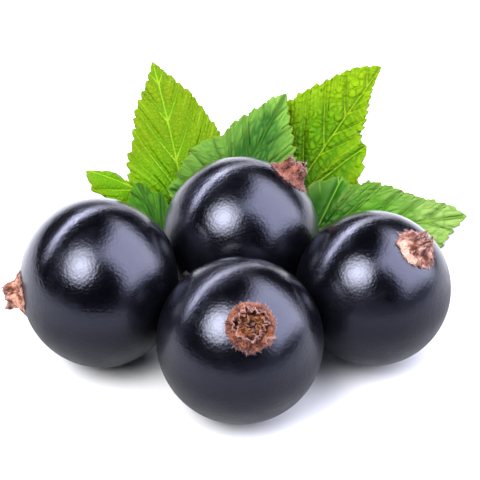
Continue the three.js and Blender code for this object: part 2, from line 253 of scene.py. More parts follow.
def new_finish(name):
    """A new material, with its shader and the object coordinates, ready for a pattern."""
    material = bpy.data.materials.new(name)
    material.use_nodes = True
    where = result(material.node_tree, "ShaderNodeTexCoord", output="Object")
    return material, material.node_tree.nodes["Principled BSDF"], where


def paint(shader, values):
    """Give the shader its patterns and its constants, by the names of its inputs."""
    for label, value in values.items():
        feed(shader.inputs[label], value)


def raise_grain(shader, height, depth):
    """Let a pattern stand out of the surface by a depth in metres."""
    bump = {"Height": height, "Distance": depth, "Strength": 1.0}
    feed(shader.inputs["Normal"], result(height.tree, "ShaderNodeBump", bump))


table_top, shader, where = new_finish("white table")
white = blend(grain(where, 4 * MM), (0.68, 0.68, 0.69, 1), (0.71, 0.71, 0.73, 1))
paint(shader, {"Base Color": white, "Roughness": 0.6, "Specular IOR Level": 0.1})

TABLE_REACH = 0.8
table_mesh = bpy.data.meshes.new("table")
corners = [(-1, -1), (1, -1), (1, 1), (-1, 1)]
table_mesh.from_pydata([(x * TABLE_REACH, y * TABLE_REACH, 0) for x, y in corners], [], [(0, 1, 2, 3)])
table_mesh.materials.append(table_top)
table = put("table", table_mesh)
print("the lamp is", round((Vector(LAMP["at"]) - Vector(AIM)).length), "mm away")

# %% [markdown]
# ## How a Geometry Nodes tree makes a piece
# A tree of nodes is a small machine with dials, which are its named inputs: it is built once, and each
# piece sets the dials. The result is kept as a plain mesh and the modifier is taken off.

# %% Build a tree, run it, keep the mesh
DIAL_KINDS = {float: "Float", int: "Int", tuple: "Vector"}


def new_form(name, dials):
    """A tree that takes and gives a geometry, with a named input for each dial and for the finish."""
    tree = bpy.data.node_groups.new(name, "GeometryNodeTree")

    def new_socket(label, kind, way="INPUT"):
        return tree.interface.new_socket(label, in_out=way, socket_type="NodeSocket" + kind)

    new_socket("Geometry", "Geometry")
    for label, start in dials.items():
        new_socket(label, DIAL_KINDS[type(start)]).default_value = start
    new_socket("Finish", "Material")
    new_socket("Geometry", "Geometry", "OUTPUT")
    sockets = tree.nodes.new("NodeGroupInput").outputs
    return tree, {socket.name: Value(socket) for socket in sockets if socket.name}


def end_form(given, geometry):
    """Every tree ends the same way: real geometry, smooth, with its finish on."""
    tree = geometry.tree
    real = result(tree, "GeometryNodeRealizeInstances", {0: geometry})
    smooth = result(tree, "GeometryNodeSetShadeSmooth", {0: real})
    painted = result(tree, "GeometryNodeSetMaterial", {0: smooth, 2: given["Finish"]})
    feed(tree.nodes.new("NodeGroupOutput").inputs[0], painted)


def end_raised(given, height):
    """Push the given surface out along its own normals by a height, and end the tree."""
    offset = result(height.tree, "GeometryNodeInputNormal") * height
    values = {0: given["Geometry"], "Offset": offset}
    end_form(given, result(height.tree, "GeometryNodeSetPosition", values))


def run_form(piece, tree, settings):
    """Run a tree on an object with its dials set, and keep the result as the object's plain mesh."""
    modifier = piece.modifiers.new("form", "NODES")
    modifier.node_group = tree
    for item in tree.interface.items_tree:
        if item.in_out == "INPUT" and item.name in settings:
            modifier[item.identifier] = settings[item.name]
    keep_as_mesh(piece)


def keep_as_mesh(piece):
    """Put what the modifiers make into a plain mesh, and take the modifiers off."""
    scene_now = bpy.context.evaluated_depsgraph_get()
    made = piece.evaluated_get(scene_now)
    mesh = bpy.data.meshes.new_from_object(made, preserve_all_data_layers=True, depsgraph=scene_now)
    piece.modifiers.clear()
    piece.data = mesh
    mesh.name = piece.name


def new_piece(name, points=(), faces=()):
    """A new object whose points are given in the model's frame, in metres."""
    mesh = bpy.data.meshes.new(name)
    mesh.from_pydata([tuple(p) for p in points], [], [tuple(f) for f in faces])
    return put(name, mesh)


def triangles_of(piece):
    return sum(len(p.vertices) - 2 for p in piece.data.polygons)


def hand_over(piece, node):
    """Let a finished piece stand for its node of the plain model."""
    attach(piece, "root")
    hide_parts(node)
    print(f"{piece.name}: {triangles_of(piece)} triangles")


print("the helpers make dials of", len(DIAL_KINDS), "kinds")

# %% [markdown]
# ## The berries
# A blackcurrant is a ball with a small dimple at its stalk and a shallow one round its dried flower, and
# its neighbours and the table press it a little flat. One tree makes all four from their dials: an
# icosphere has even faces, noise makes it slightly wavy, and each press is a limit along one direction.

# %% The berry tree
PRESSES = 4
NO_PRESS = 1.0
FOOT_DEPTH = 0.07
TOUCH_GAP = 0.08

berry_dials = {
    "Radius": 6 * MM, "Length share": 1.0, "Axis": (0.0, 0.0, 1.0), "Centre": (0.0, 0.0, 0.0),
    "Dimple": 0.35 * MM, "Waviness": 0.05 * MM, "Press softness": 0.12 * MM, "Seed": 1.0,
}
for number in range(PRESSES):
    berry_dials[f"Press direction {number}"] = (0.0, 0.0, -1.0)
    berry_dials[f"Press distance {number}"] = NO_PRESS
berry_form, given = new_form("berry form", berry_dials)


def berry_tree(tree, given):
    ball = result(tree, "GeometryNodeMeshIcoSphere", {"Radius": given["Radius"], "Subdivisions": 7})
    outward = maths("NORMALIZE", result(tree, "GeometryNodeInputPosition"))
    polar = parts_of(outward)[2]
    # each dimple fades with the angle from its pole
    at_stalk = maths("EXPONENT", (polar + 1.0) * -45.0)
    at_flower = maths("EXPONENT", (1.0 - polar) * -22.0) * 0.35
    wander = outward + given["Seed"] * (3.1, 1.7, 2.3)
    ripple = (grain(wander, 0.16, 2.0) - 0.5) * 0.16 + (grain(wander, 0.9, 1.0) - 0.5)
    reach = given["Radius"] + (ripple * given["Waviness"] - (at_stalk + at_flower) * given["Dimple"])
    stretch = result(tree, "ShaderNodeCombineXYZ", {0: 1.0, 1: 1.0, 2: given["Length share"]})
    turn = result(tree, "FunctionNodeAlignRotationToVector", {"Vector": given["Axis"]}, axis="Z")
    shape = result(tree, "FunctionNodeRotateVector", {0: outward * reach * stretch, 1: turn})
    for number in range(PRESSES):
        direction = given[f"Press direction {number}"]
        over = maths("DOT_PRODUCT", shape, direction) - given[f"Press distance {number}"]
        shape = shape - direction * maths("SMOOTH_MAX", over, 0.0, given["Press softness"])
    values = {0: ball, "Position": shape + given["Centre"]}
    end_form(given, result(tree, "GeometryNodeSetPosition", values))


berry_tree(berry_form, given)
print("the berry tree has", len(berry_form.nodes), "nodes")

# %% [markdown]
# ## The skin
# The skin is blue-black under a thin bloom of wax. The berry mirrors the studio twice: sharply from the
# polished skin, which is the coat, and softly from the bloom, which is the rougher base below it. The
# bloom is worn off high up and thick low down, so both follow the height. Goose bumps break it all up.

# %% The skin finish
BLOOM_LOW, BLOOM_HIGH = 6.0 * MM, 10.5 * MM

berry_skin, shader, where = new_finish("berry skin")
height = parts_of(where)[2]


def by_bloom(low_down, high_up):
    return ease(height, BLOOM_LOW, BLOOM_HIGH, low_down, high_up)


rubbed = ease(grain(where, 3.2 * MM, 4.0), 0.38, 0.68)
underneath = ease(height, 3.2 * MM, 0.6 * MM, 0.0, 0.35)
paint(shader, {
    "Base Color": blend(rubbed, (0.0003, 0.0003, 0.0007, 1), (0.001, 0.001, 0.0021, 1)),
    "Roughness": ease(rubbed, 0.0, 1.0, 0.17, 0.26) + by_bloom(0.3, 0.0),
    "Specular IOR Level": by_bloom(0.2, 0.55) + underneath, "Specular Tint": (0.68, 0.71, 1.0, 1.0),
    "Coat Weight": by_bloom(0.03, 0.22), "Coat Roughness": 0.12,
})
raise_grain(shader, grain(where, 0.55 * MM, 4.0, 0.6) - cells(where, 0.22 * MM, "F1") * 0.5, 0.018 * MM)
print("the skin finish has", len(where.tree.nodes), "nodes")

# %% The four berries
def reach_of(berry, direction):
    """A berry's radius in one direction, in millimetres."""
    cosine = Vector(berry["axis"]).normalized().dot(direction)
    return berry["radius"] / math.sqrt((cosine / berry["length"]) ** 2 + 1 - cosine**2)


def centre_of(berry):
    return Vector((*berry["at"], reach_of(berry, Vector((0, 0, -1))) - FOOT_DEPTH))


def presses_on(berry):
    """The directions in which a berry is pressed, with the distance of each flat spot from its centre."""
    centre = centre_of(berry)
    found = [(Vector((0, 0, -1)), centre.z)]
    for neighbour in BERRIES.values():
        across = centre_of(neighbour) - centre
        if neighbour is berry or across.length == 0:
            continue
        direction = across.normalized()
        own, other = reach_of(berry, direction), reach_of(neighbour, direction)
        if own + other + TOUCH_GAP >= across.length:
            found.append((direction, (across.length + own - other - TOUCH_GAP) / 2))
    return found


for number, (place, berry) in enumerate(BERRIES.items()):
    settings = {
        "Radius": berry["radius"] * MM, "Length share": berry["length"], "Axis": berry["axis"],
        "Centre": tuple(in_frame(centre_of(berry))), "Seed": 1.0 + number, "Finish": berry_skin,
    }
    for index, (direction, distance) in enumerate(presses_on(berry)):
        settings[f"Press direction {index}"] = tuple(direction)
        settings[f"Press distance {index}"] = distance * MM
    piece = new_piece(f"berry_skin_{place}")
    run_form(piece, berry_form, settings)
    hand_over(piece, f"berry_{place}")

# %% [markdown]
# ## The leaves
# Each blade has three lobes. A lobe is a fan of rows: every row leaves the midrib and ends in the
# toothed margin, swept forward as side veins are, so that a vein is simply a row. The outline is a
# smooth curve through a few measured points, and a formula cuts the teeth into it.

# %% The five leaves, in millimetres and degrees
# a lobe holds the points of its right margin, its tip, the points of its left margin, and its teeth
LEAVES = {
    "upper_left": {
        "at": (-4.4, 20.1, 1.5), "heading": 104, "pitch": 25, "roll": -6,
        "length": 14.5, "fold": 0.1, "arch": 0.5, "tooth_depth": 0.32, "vein_angle": 27,
        "quilt": 0.19, "net": 0.06, "net_size": 0.32, "rungs": 0.0,
        "lobes": [
            ([(0.9, -1.0), (3.4, -0.4), (5.2, 1.6)], (6.1, 3.7),
             [(4.4, 4.0), (5.2, 4.2)], (4, 2)),
            ([(4.4, 4.0), (4.1, 7.0), (3.1, 10.0), (1.3, 13.0)], (0.1, 14.6),
             [(-4.5, 2.9), (-4.2, 5.2), (-3.5, 6.6), (-2.6, 9.7), (-0.9, 12.7)], (12, 12)),
            ([(-4.5, 2.9), (-5.7, 4.0)], (-7.8, 4.4),
             [(-0.9, -1.0), (-3.6, -0.7), (-7.7, 2.2)], (3, 6)),
        ],
    },
    "small": {
        "at": (-6.2, 15.9, 1.6), "heading": 118, "pitch": 28, "roll": -4,
        "length": 5.6, "fold": 0.12, "arch": 0.25, "tooth_depth": 0.24, "vein_angle": 38,
        "quilt": 0.16, "net": 0.07, "net_size": 0.42, "rungs": 1.0,
        "lobes": [
            ([(0.5, -0.5), (1.9, 0.8)], (1.7, 4.3), [(1.0, 4.3)], (4, 1)),
            ([(1.0, 4.3), (0.9, 5.2)], (0.3, 5.8),
             [(-1.2, 4.5), (-0.6, 5.5)], (2, 2)),
            ([(-1.2, 4.5), (-1.8, 4.0)], (-2.5, 2.9),
             [(-0.5, -0.5), (-1.9, 0.4)], (2, 4)),
        ],
    },
    "centre": {
        "at": (-0.8, 19.2, 3.0), "heading": 60, "pitch": 29, "roll": -8,
        "length": 10.9, "fold": 0.14, "arch": 0.35, "tooth_depth": 0.36, "vein_angle": 30,
        "quilt": 0.2, "net": 0.08, "net_size": 0.42, "rungs": 1.0,
        "lobes": [
            ([(0.6, -0.7), (2.6, -0.2)], (4.9, 2.3), [(4.2, 4.0)], (4, 1)),
            ([(4.2, 4.0), (2.9, 6.6), (0.9, 9.4)], (-0.1, 10.9),
             [(-3.1, 5.1), (-3.0, 6.3), (-1.6, 8.9), (-1.0, 10.0)], (8, 7)),
            ([(-3.1, 5.1), (-4.1, 4.4), (-5.0, 2.4)], (-5.3, -1.0),
             [(-0.6, -0.8), (-3.2, -2.2)], (6, 3)),
        ],
    },
    "upper_right": {
        "at": (3.6, 20.6, 1.5), "heading": 55, "pitch": 20, "roll": -18,
        "length": 16.1, "fold": 0.08, "arch": 0.6, "tooth_depth": 0.38, "vein_angle": 30,
        "quilt": 0.1, "net": 0.13, "net_size": 0.46, "rungs": 0.3,
        "lobes": [
            ([(0.6, -0.9), (3.6, 0.6), (4.2, 4.8), (3.8, 6.6)], (2.9, 8.5),
             [(2.2, 8.6)], (7, 1)),
            ([(2.2, 8.6), (1.7, 10.4), (0.5, 13.6)], (-0.1, 16.1),
             [(-5.0, 7.6), (-4.2, 10.2), (-2.7, 13.3), (-1.3, 15.3)], (10, 10)),
            ([(-5.0, 7.6)], (-6.0, 5.4),
             [(-0.6, -0.9), (-3.4, -0.2), (-5.2, 2.6)], (2, 6)),
        ],
    },
    "lower_right": {
        "at": (5.6, 15.2, 2.2), "heading": 18, "pitch": -5, "roll": -20,
        "length": 14.1, "fold": 0.08, "arch": 0.5, "tooth_depth": 0.36, "vein_angle": 32,
        "quilt": 0.15, "net": 0.09, "net_size": 0.5, "rungs": 0.8,
        "lobes": [
            ([(0.3, -0.9), (2.4, 0.2)], (4.0, 3.2), [(3.4, 4.6)], (4, 1)),
            ([(3.4, 4.6), (3.9, 7.2), (3.0, 9.8), (1.1, 12.1)], (-0.5, 14.1),
             [(-4.6, 4.8), (-4.7, 6.4), (-3.1, 9.6), (-2.0, 12.4)], (11, 11)),
            ([(-4.6, 4.8)], (-5.5, 4.4),
             [(-0.3, -0.9), (-3.0, -0.6), (-5.0, 0.9), (-5.4, 3.2)], (1, 5)),
        ],
    },
}
print("the leaves have", sum(len(leaf["lobes"]) for leaf in LEAVES.values()), "lobes")

# %% [markdown]
# ## A margin with teeth
# The margin of a lobe goes straight from the stalk to the notch between two lobes, and then in a smooth
# curve to the tip. A tooth rises slowly and drops back quickly, so it leans towards the tip. Each has
# its own depth, and a small second tooth on its long side. Rows stand close together at its point.

# %% The margin
TOOTH_PEAK = 0.72
SECOND_TOOTH = 0.12
HOOK = 0.25
ROOT_ROWS, CAD_ROOT_ROWS = 14, 3
TOOTH_STEPS = (0.0, 0.08, 0.18, 0.29, 0.4, 0.51, 0.61, 0.68, 0.72, 0.76, 0.82, 0.88, 0.94)


def smooth_route(knots, count=400):
    """Points of a smooth curve through the knots, with the distance along it at each one."""
    knots = np.array(knots, float)
    last = len(knots) - 1
    place = np.linspace(0, last, count)
    index = np.minimum(place.astype(int), last - 1)
    t = (place - index)[:, None]
    before, start = knots[np.maximum(index - 1, 0)], knots[index]
    end, after = knots[index + 1], knots[np.minimum(index + 2, last)]
    leave, arrive = (end - before) / 2, (after - start) / 2
    bend = (2 * start - 2 * end + leave + arrive) * t**3
    points = bend + (3 * end - 3 * start - 2 * leave - arrive) * t**2 + leave * t + start
    steps = np.linalg.norm(np.diff(points, axis=0), axis=1)
    return points, np.concatenate([[0], np.cumsum(steps)])


def tooth_rise(phase):
    """From 0 in a notch to 1 at the tooth's point, with a small second tooth on the way up."""
    rising = np.minimum(phase / TOOTH_PEAK, 1) ** 0.9
    falling = ((1 - phase) / (1 - TOOTH_PEAK)) ** 1.3
    second = SECOND_TOOTH * np.maximum(0, np.sin(2 * np.pi * phase / TOOTH_PEAK)) ** 2
    return np.where(phase < TOOTH_PEAK, rising + second, falling)


def row_places(teeth):
    """Where the rows of a lobe stand: a list of shares, the first ones on the way to the notch."""
    root_share = CAD_ROOT_ROWS / (CAD_ROOT_ROWS + 2 * max(teeth))
    root = [root_share * i / ROOT_ROWS for i in range(ROOT_ROWS)]
    along = [(k + step) / max(teeth) for k in range(max(teeth)) for step in TOOTH_STEPS] + [1.0]
    return np.array(root + [root_share + (1 - root_share) * a for a in along]), root_share


def off_line(points, tip):
    """How far points lie from the line through the origin and a tip."""
    return np.abs(points[..., 0] * tip[1] - points[..., 1] * tip[0]) / math.hypot(*tip)


def toothed_margin(knots, tip, teeth, places, root_share, side, depth, draw):
    """Each row's point on the margin, the same without teeth, and the count of teeth passed there."""
    route, passed = smooth_route([*knots, tip])
    share = (places - root_share) / (1 - root_share)
    along = np.clip(share, 0, 1)

    def on_route(ahead):
        distance = along * passed[-1] + ahead
        return np.stack([np.interp(distance, passed, route[:, axis]) for axis in (0, 1)], 1)

    smooth, span = on_route(0), on_route(0.05) - on_route(-0.05)
    tangent = span / np.linalg.norm(span, axis=1, keepdims=True)
    inward = side * np.stack([-tangent[:, 1], tangent[:, 0]], 1)
    count = along * teeth
    notches = np.array([depth * draw.uniform(0.6, 1.25) for _ in range(teeth + 1)])
    own = notches[np.minimum((count + 1 - TOOTH_PEAK).astype(int), teeth)]
    own = np.minimum(own, 0.3 * off_line(smooth, tip)) * np.minimum(1.6 * count, 1)
    own[along >= 1] = 0
    rise = tooth_rise(count % 1)
    rooted = places < root_share
    smooth[rooted] = np.outer(places[rooted] / root_share, np.array(knots[0]))
    toothed = smooth + inward * (own * (1 - rise))[:, None] + tangent * (HOOK * own * rise**3)[:, None]
    return toothed, smooth, share * teeth


print("a tooth rises to", round(float(tooth_rise(np.array([TOOTH_PEAK]))[0]), 2))

# %% [markdown]
# ## The flat of a blade
# Every corner of the blade keeps four facts besides its place: how many teeth its row has passed, how
# far apart those rows are, how far the midrib is, and its share of the way to the margin. Relief and
# paint both read them, so the painted shade sits exactly in the grooves.

# %% Build a blade
VEIN_BEND = 0.25
COLUMNS = np.concatenate([[0, 0.02, 0.045, 0.08], np.linspace(0.12, 0.94, 22), [0.97, 0.985, 1.0]])


def leaf_axes(leaf):
    """The blade's own directions in the model's frame: across it, along its midrib, and out of it."""
    heading, pitch, roll = (math.radians(leaf[key]) for key in ("heading", "pitch", "roll"))
    level = Vector((math.sin(heading), -math.cos(heading), 0))
    flat = Vector((math.cos(heading), math.sin(heading), 0)) * math.cos(pitch)
    along = flat + Vector((0, 0, math.sin(pitch)))
    across = Matrix.Rotation(-roll, 3, along) @ level
    return across, along, across.cross(along)


def blade_height(leaf, x, y):
    """The trough along the midrib, the arch along the blade, and a slight wave, in millimetres."""
    trough = leaf["fold"] * (np.hypot(x, 0.5) - 0.5)
    arch = leaf["arch"] * np.sin(np.pi * np.clip(y / leaf["length"], 0, 1))
    wave = 0.05 * np.abs(x) * np.sin(1.1 * y + np.sign(x))
    return trough + arch + wave


def half_lobe(leaf, lobe, side, draw):
    """The grid of one half of a lobe, from the midrib to the margin, with its facts."""
    right, tip, left, teeth = lobe
    places, root_share = row_places(teeth)
    knots, teeth = (right, teeth[0]) if side > 0 else (left, teeth[1])
    margin, smooth, phase = toothed_margin(
        knots, tip, teeth, places, root_share, side, leaf["tooth_depth"], draw
    )
    length = math.hypot(*tip)
    ahead = np.array(tip) / length
    reach = off_line(smooth, tip)
    start = smooth @ ahead - reach / math.tan(math.radians(leaf["vein_angle"]))
    start = np.maximum.accumulate(0.5 * (start + np.hypot(start, 0.3)) * np.minimum(places / root_share, 1))
    midrib = np.outer(np.minimum(start, length), ahead)
    midrib[-1] = tip
    lie = margin - midrib
    bowed = np.outer(reach * np.clip(2.5 * phase / teeth, 0, 1), COLUMNS * (1 - COLUMNS))
    rows = midrib[:, None] + lie[:, None] * COLUMNS[:, None] - VEIN_BEND * bowed[..., None] * ahead
    step = np.gradient(rows, axis=0) / np.gradient(phase)[:, None, None]
    lie = lie / np.maximum(np.linalg.norm(lie, axis=1, keepdims=True), 1e-6)
    spacing = np.abs(step[..., 0] * lie[:, None, 1] - step[..., 1] * lie[:, None, 0])
    facts = [np.broadcast_to(phase[:, None], spacing.shape), spacing, off_line(rows, tip)]
    return rows, np.stack([*facts, np.broadcast_to(COLUMNS, spacing.shape)], -1)


def blade_grid(leaf, seed):
    """Every corner of a blade in its flat, its faces, and its facts."""
    draw = random.Random(seed)
    points, faces, all_facts = [], [], []
    width = len(COLUMNS)
    for lobe, side in ((lobe, side) for lobe in leaf["lobes"] for side in (1, -1)):
        rows, facts = half_lobe(leaf, lobe, side, draw)
        corners = np.arange(len(rows) * width).reshape(-1, width)[:-1, :-1].ravel() + len(points)
        points.extend(rows.reshape(-1, 2))
        all_facts.extend(facts.reshape(-1, 4))
        for a in corners.tolist():
            faces.append((a, a + 1, a + width + 1, a + width)[::side])
    return np.array(points), faces, np.array(all_facts)


print("a row of a blade has", len(COLUMNS), "corners")

# %% [markdown]
# ## Relief by nodes
# The veins lie in grooves and the blade swells between them, like a quilt. The net of small veins has
# round cells in some leaves, and in others it crosses from side vein to side vein as rungs do. Solidify
# then gives the sheet its thickness, with the same relief on both faces.

# %% The relief tree
VEIN_PHASE = TOOTH_PEAK
WEAK_VEIN = 0.5
RUNGS_PER_TOOTH = 1.3
relief_form, given = new_form("leaf relief", {
    "Quilt": 0.1 * MM, "Net": 0.04 * MM, "Net size": 0.5, "Rungs": 0.5, "Groove": 0.03 * MM,
    "Wrinkle": 0.05 * MM,
})


def fact(tree, name, kind="FLOAT"):
    return result(tree, "GeometryNodeInputNamedAttribute", {"Name": name}, data_type=kind)


def groove(distance, width):
    """1 on a vein, falling to 0 within about its width in millimetres."""
    share = distance / width
    return maths("EXPONENT", share * share * -1.0)


def net_of(flat, phase, midrib, size, rungs):
    """The distance to the net of small veins, in shares of a cell."""
    warp = grain(flat, 1 / 1.3, 1.0, 0.5, output=1)
    round_cells = (warp * (0.5, 0.5, 0.0) + flat) * (1.0 / size)
    steps = {0: phase * RUNGS_PER_TOOTH, 1: midrib * (1.0 / size)}
    ladder = warp * (0.0, 0.8, 0.0) + result(flat.tree, "ShaderNodeCombineXYZ", steps)
    return cells(round_cells + (ladder - round_cells) * rungs, 1.0, "DISTANCE_TO_EDGE", 0.85)


def relief_tree(tree, given):
    side, strength, midrib = (fact(tree, name) for name in ("side_vein", "vein_strength", "midrib"))
    flat = fact(tree, "in_flat", "FLOAT_VECTOR")
    pads = (1.0 - groove(side, 0.36) * strength) * (1.0 - groove(midrib, 0.42))
    net = ease(net_of(flat, fact(tree, "phase"), midrib, given["Net size"], given["Rungs"]), 0.0, 0.3)
    lines = maths("MAXIMUM", groove(side, 0.1) * strength, groove(midrib, 0.14))
    wrinkle = grain(flat, 1 / 2.2, 2.0, 0.5) - 0.5
    height = (pads - 0.5) * given["Quilt"] + net * pads * given["Net"] - lines * given["Groove"]
    end_raised(given, height + wrinkle * given["Wrinkle"])


relief_tree(relief_form, given)
print("the relief tree has", len(relief_form.nodes), "nodes")

# %% [markdown]
# ## Leaf green
# A young blade is yellow-green and a mature one bluish. Each blade is painted darker towards its stalk, as
# painted shade, and lighter towards its tip, and it is paler at its margin. The veins are pale lines in
# hollows painted dark as shade, and the small veins are dark lines of painted shade round pads painted
# lighter as light on their swellings. The patterns read the blade's own UV maps, so they bend with it. The
# underside is paler and dull.

# %% The leaf finishes
# in each leaf's paint, base is painted shade, both towards the stalk and in the vein hollows as far as
# groove says; net holds the colour and share of the small veins, painted dark as shade in their grooves; tip
# also lightens the pads between them as painted light
LEAF_PAINT = {
    "upper_left": {
        "base": (72, 122, 2), "blade": (88, 115, 2), "tip": (97, 118, 5), "turn": (2.0, 13.0),
        "vein": ((136, 156, 34), 0.7), "net": ((52, 90, 3), 0.5), "groove": 0.8, "edge": 0.3,
    },
    "small": {
        "base": (14, 51, 6), "blade": (32, 79, 12), "tip": (54, 98, 18), "turn": (0.5, 5.5),
        "vein": ((66, 102, 34), 0.3), "net": ((12, 44, 4), 0.4), "groove": 0.7, "edge": 0.3,
    },
    "centre": {
        "base": (23, 67, 17), "blade": (40, 87, 28), "tip": (104, 143, 54), "turn": (4.0, 10.5),
        "vein": ((78, 112, 30), 0.25), "net": ((16, 54, 10), 0.4), "groove": 0.7, "edge": 0.5,
    },
    "upper_right": {
        "base": (14, 52, 1), "blade": (66, 109, 1), "tip": (108, 140, 5), "turn": (1.0, 14.0),
        "vein": ((126, 156, 14), 0.6), "net": ((26, 72, 1), 0.3), "groove": 0.6, "edge": 0.5,
    },
    "lower_right": {
        "base": (3, 57, 4), "blade": (52, 104, 7), "tip": (112, 140, 68), "turn": (1.5, 11.5),
        "vein": ((104, 140, 34), 0.6), "net": ((14, 60, 4), 0.3), "groove": 0.6, "edge": 0.2,
    },
}


def uv_of(tree, name):
    return parts_of(result(tree, "ShaderNodeUVMap", uv_map=name))


def veins_of(tree):
    """How much of a spot is fine line, and how much is the hollow round it, which leaf_finish paints dark as
    shade, from the UV maps.
    """
    phase, spacing, _ = uv_of(tree, "rows")
    midrib, share, _ = uv_of(tree, "ribs")
    passed = phase - (VEIN_PHASE - 0.5)
    side = maths("ABSOLUTE", maths("FRACT", passed) - 0.5) * spacing
    every_second = maths("LESS_THAN", maths("FRACT", passed * 0.5), 0.5)
    strength = maths("MAXIMUM", every_second, ease(share, 0.5, 0.85, 0.0, WEAK_VEIN))
    line = maths("MAXIMUM", ease(side, 0.13, 0.025) * strength, ease(midrib, 0.14, 0.03))
    hollow = ease(side, 0.4, 0.03) * strength * ease(spacing, 0.3, 0.8)
    return line, maths("MAXIMUM", hollow, ease(midrib, 0.4, 0.06))


def leaf_finish(place, leaf):
    material, shader, where = new_finish(f"leaf green {place}")
    tree, colours = where.tree, LEAF_PAINT[place]
    base, blade, tip = (tint(*colours[key]) for key in ("base", "blade", "tip"))
    (vein, vein_share), (net_shade_colour, net_shade_share) = colours["vein"], colours["net"]
    start, end = colours["turn"]
    middle = (start + end) / 2
    line, hollow = veins_of(tree)
    phase, (midrib, share, _) = uv_of(tree, "rows")[0], uv_of(tree, "ribs")
    flat = result(tree, "ShaderNodeUVMap", uv_map="flat")
    reach = (grain(flat, 1 / 0.35, 2.0, 0.5) - 0.5) * 5.0 + parts_of(flat)[1]
    net = net_of(flat, phase, midrib, leaf["net_size"], leaf["rungs"])
    pad = ease(net, 0.0, 0.3)
    mottle = grain(flat, 1 / 2.6, 4.0, 0.5)
    # painted shade: the blade starts from the dark base colour at its stalk
    colour = blend(ease(reach, start, middle), base, blade)
    # lighter towards the tip; pads painted lighter as light on the swellings, mottled; painted shade in the
    # vein hollows; the small veins as dark lines of painted shade; pale veins; a paler margin and rim
    layers = [
        (ease(reach, middle, end), tip), (pad * mottle * 0.35, tip), (hollow * colours["groove"], base),
        (ease(net, 0.14, 0.01) * net_shade_share, tint(*net_shade_colour)), (line * vein_share, tint(*vein)),
        (ease(share, 0.45, 1.0) * colours["edge"], tip), (ease(share, 0.955, 1.0) * 0.4, tint(104, 124, 24)),
    ]
    for amount, upper in layers:
        colour = blend(amount, colour, upper)
    paint(shader, {
        "Base Color": colour, "Roughness": ease(mottle, 0.2, 0.8, 0.42, 0.56),
        "Specular IOR Level": 0.08, "Specular Tint": (0.9, 1.0, 0.4, 1.0),
    })
    skin = grain(where, 0.11 * MM, 2.0) * 0.35 + (pad - hollow * 0.7)
    raise_grain(shader, skin, 0.75 * leaf["net"] * MM)
    return material


def underside_finish():
    material, shader, where = new_finish("leaf underside")
    colour = blend(grain(where, 0.7 * MM, 4.0), tint(50, 78, 26), tint(68, 94, 36))
    colour = blend(veins_of(where.tree)[0] * 0.7, colour, tint(104, 124, 58))
    paint(shader, {"Base Color": colour, "Roughness": 0.75, "Specular IOR Level": 0.2, "Sheen Weight": 0.04})
    raise_grain(shader, grain(where, 0.09 * MM, 3.0), 0.01 * MM)
    return material


underside = underside_finish()
leaf_paints = {place: leaf_finish(place, leaf) for place, leaf in LEAVES.items()}
print(len(leaf_paints), "leaf finishes")

# %% The five blades
BLADE = 0.24
SEAM = 0.002 * MM


def mark(mesh, **facts):
    """Keep a number or a vector with every corner, under a name."""
    for name, values in facts.items():
        values = np.asarray(values, np.float32)
        kind, field = ("FLOAT_VECTOR", "vector") if values.ndim == 2 else ("FLOAT", "value")
        mesh.attributes.new(name, kind, "POINT").data.foreach_set(field, values.ravel())


def mark_uv(mesh, **maps):
    """Keep pairs of numbers with every corner of every face, as UV maps."""
    corner = np.zeros(len(mesh.loops), np.int32)
    mesh.loops.foreach_get("vertex_index", corner)
    for name, pairs in maps.items():
        pairs = np.asarray(pairs, np.float32)[corner]
        mesh.uv_layers.new(name=name).data.foreach_set("uv", pairs.ravel())


def merge_doubles(mesh):
    form = bmesh.new()
    form.from_mesh(mesh)
    bmesh.ops.remove_doubles(form, verts=form.verts, dist=SEAM)
    form.to_mesh(mesh)
    form.free()


def thicken(piece, thickness, **settings):
    solid = piece.modifiers.new("thickness", "SOLIDIFY")
    solid.thickness, solid.offset = thickness * MM, 0.0
    for key, setting in settings.items():
        setattr(solid, key, setting)
    keep_as_mesh(piece)


def make_leaf(place, leaf, seed):
    flat, faces, facts = blade_grid(leaf, seed)
    across, along, out = (np.array(axis) for axis in leaf_axes(leaf))
    height = blade_height(leaf, flat[:, 0], flat[:, 1])
    solid = flat[:, :1] * across + flat[:, 1:] * along + height[:, None] * out
    points = (solid + np.array(leaf["at"]) + np.array(SHIFT)) * MM
    piece = new_piece(f"leaf_blade_{place}", points, faces)
    phase, spacing, midrib, share = facts.T
    passed = phase - VEIN_PHASE + 0.5
    weak = WEAK_VEIN * np.clip((share - 0.5) / 0.35, 0, 1)
    mark(
        piece.data, side_vein=np.abs(passed % 1 - 0.5) * spacing, midrib=midrib, phase=phase,
        vein_strength=np.maximum((passed / 2) % 1 < 0.5, weak),
        in_flat=np.column_stack([flat, np.zeros(len(flat))]),
    )
    mark_uv(piece.data, rows=np.stack([phase, spacing], 1), ribs=np.stack([midrib, share], 1), flat=flat)
    merge_doubles(piece.data)
    run_form(piece, relief_form, {
        "Quilt": leaf["quilt"] * MM, "Net": leaf["net"] * MM, "Net size": leaf["net_size"],
        "Rungs": leaf["rungs"], "Finish": leaf_paints[place],
    })
    piece.data.materials.append(underside)
    thicken(piece, BLADE, material_offset=1)
    return piece


for seed, (place, leaf) in enumerate(LEAVES.items()):
    blade = make_leaf(place, leaf, seed + 3)
    hand_over(blade, f"leaf_{place}")

# %% [markdown]
# ## The dried flowers
# On each berry a felted ring lies on the skin, crumpled sepals stand on it in two layers round a hollow,
# and in the hollow are shrivelled petals and the stub of the style. Each of those is a thin sheet: a
# grid that is bent, torn at its edge, crumpled with noise and then given its thickness.

